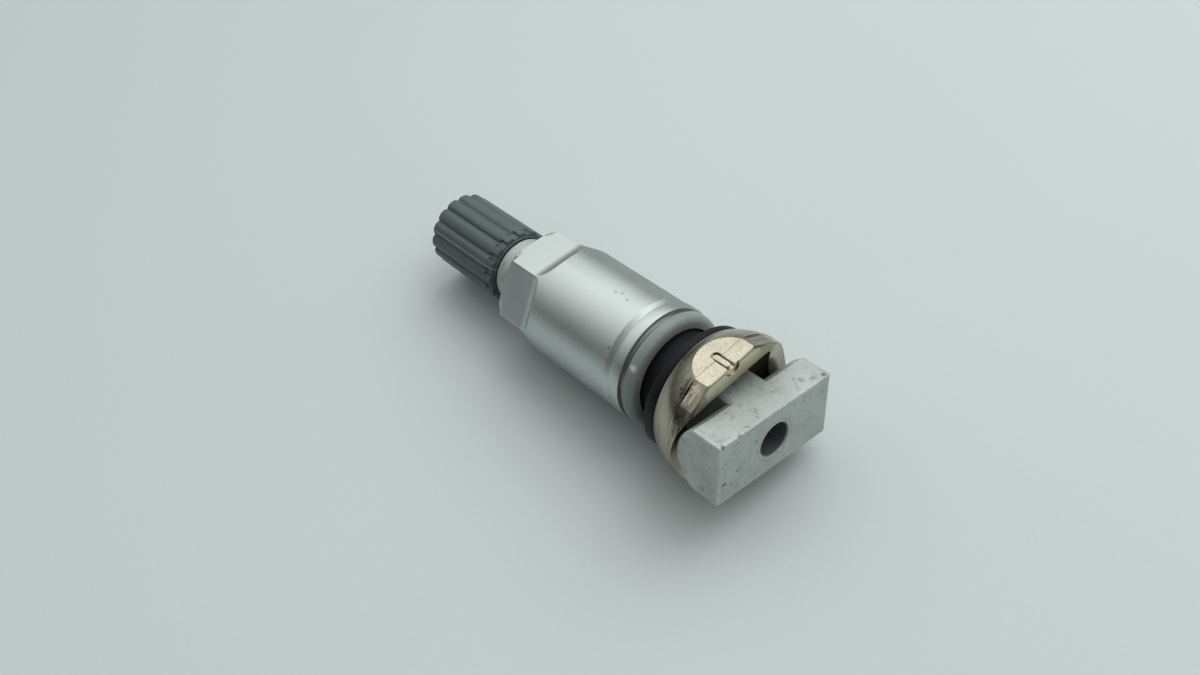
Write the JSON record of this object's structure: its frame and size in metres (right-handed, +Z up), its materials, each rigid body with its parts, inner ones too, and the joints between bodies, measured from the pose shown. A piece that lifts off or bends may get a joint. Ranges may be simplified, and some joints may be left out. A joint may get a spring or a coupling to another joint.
{
  "type": "clamp-in tyre valve stem",
  "caption": "Clamp-in tyre valve stem with ribbed cap, long hex sleeve nut, washer, rubber grommet, ball saddle and tee head with a threaded hole for a pressure sensor.",
  "frame": {"origin": "mouth of the screw hole, at the centre of the tee's flat face", "axes": "+X along the stem and out of the screw hole, +Z up from the saddle's lower flat, on which it lies"},
  "size_m": [0.057, 0.0192, 0.0176],
  "materials": {
    "stem_aluminium": "milled, satin",
    "nut_aluminium": "turned, satin",
    "washer_plastic": "matt",
    "grommet_rubber": "satin black",
    "saddle_nickel": "nickel plated, satin",
    "cap_plastic": "moulded, satin",
    "seal_rubber": "matt",
    "core_brass": "turned",
    "core_gasket": "moulded",
    "core_steel": "drawn wire"
  },
  "bodies": {
    "stem": {"valve_stem": "stem_aluminium", "grommet": "grommet_rubber", "core_plug": "core_brass", "core_barrel": "core_brass", "core_gasket": "core_gasket", "core_spring": "core_steel"},
    "poppet": {"core_pin": "core_brass", "core_cup": "core_brass", "core_seat_seal": "seal_rubber"},
    "saddle": {"saddle": "saddle_nickel"},
    "washer": {"nut_washer": "washer_plastic"},
    "nut": {"collar_nut": "nut_aluminium"},
    "cap_seal": {"cap_seal": "seal_rubber"},
    "cap": {"valve_cap": "cap_plastic"}
  },
  "joints": [
    {"name": "pin_press", "type": "slide", "parent": "stem", "child": "poppet", "axis": [1, 0, 0], "range_m": [0, 0.0012], "stiffness_N_per_m": 150, "springref_m": -0.004, "deforming": ["core_spring"]},
    {"name": "saddle_swivel", "type": "hinge", "parent": "stem", "child": "saddle", "pos_m": [-0.006, 0, 0], "axis": [1, 0, 0], "range_deg": [-27.5, 2.5]},
    {"name": "washer_travel", "type": "slide", "parent": "stem", "child": "washer", "axis": [1, 0, 0], "range_m": [-0.0028, 0.0028]},
    {"name": "nut_turn", "type": "hinge", "parent": "washer", "child": "nut", "pos_m": [-0.03, 0, 0], "axis": [1, 0, 0], "range_deg": [-1008, 1008]},
    {"name": "cap_seal_travel", "type": "slide", "parent": "stem", "child": "cap_seal", "axis": [-1, 0, 0], "range_m": [0, 0.00794]},
    {"name": "cap_turn", "type": "hinge", "parent": "cap_seal", "child": "cap", "pos_m": [-0.05, 0, 0], "axis": [-1, 0, 0], "range_deg": [0, 3600]}
  ],
  "couplings": [
    {"joint": "washer_travel", "follows": "nut_turn", "m_per_rad": 0.00015915},
    {"joint": "cap_turn", "follows": "cap_seal_travel", "rad_per_m": 7913.3}
  ]
}
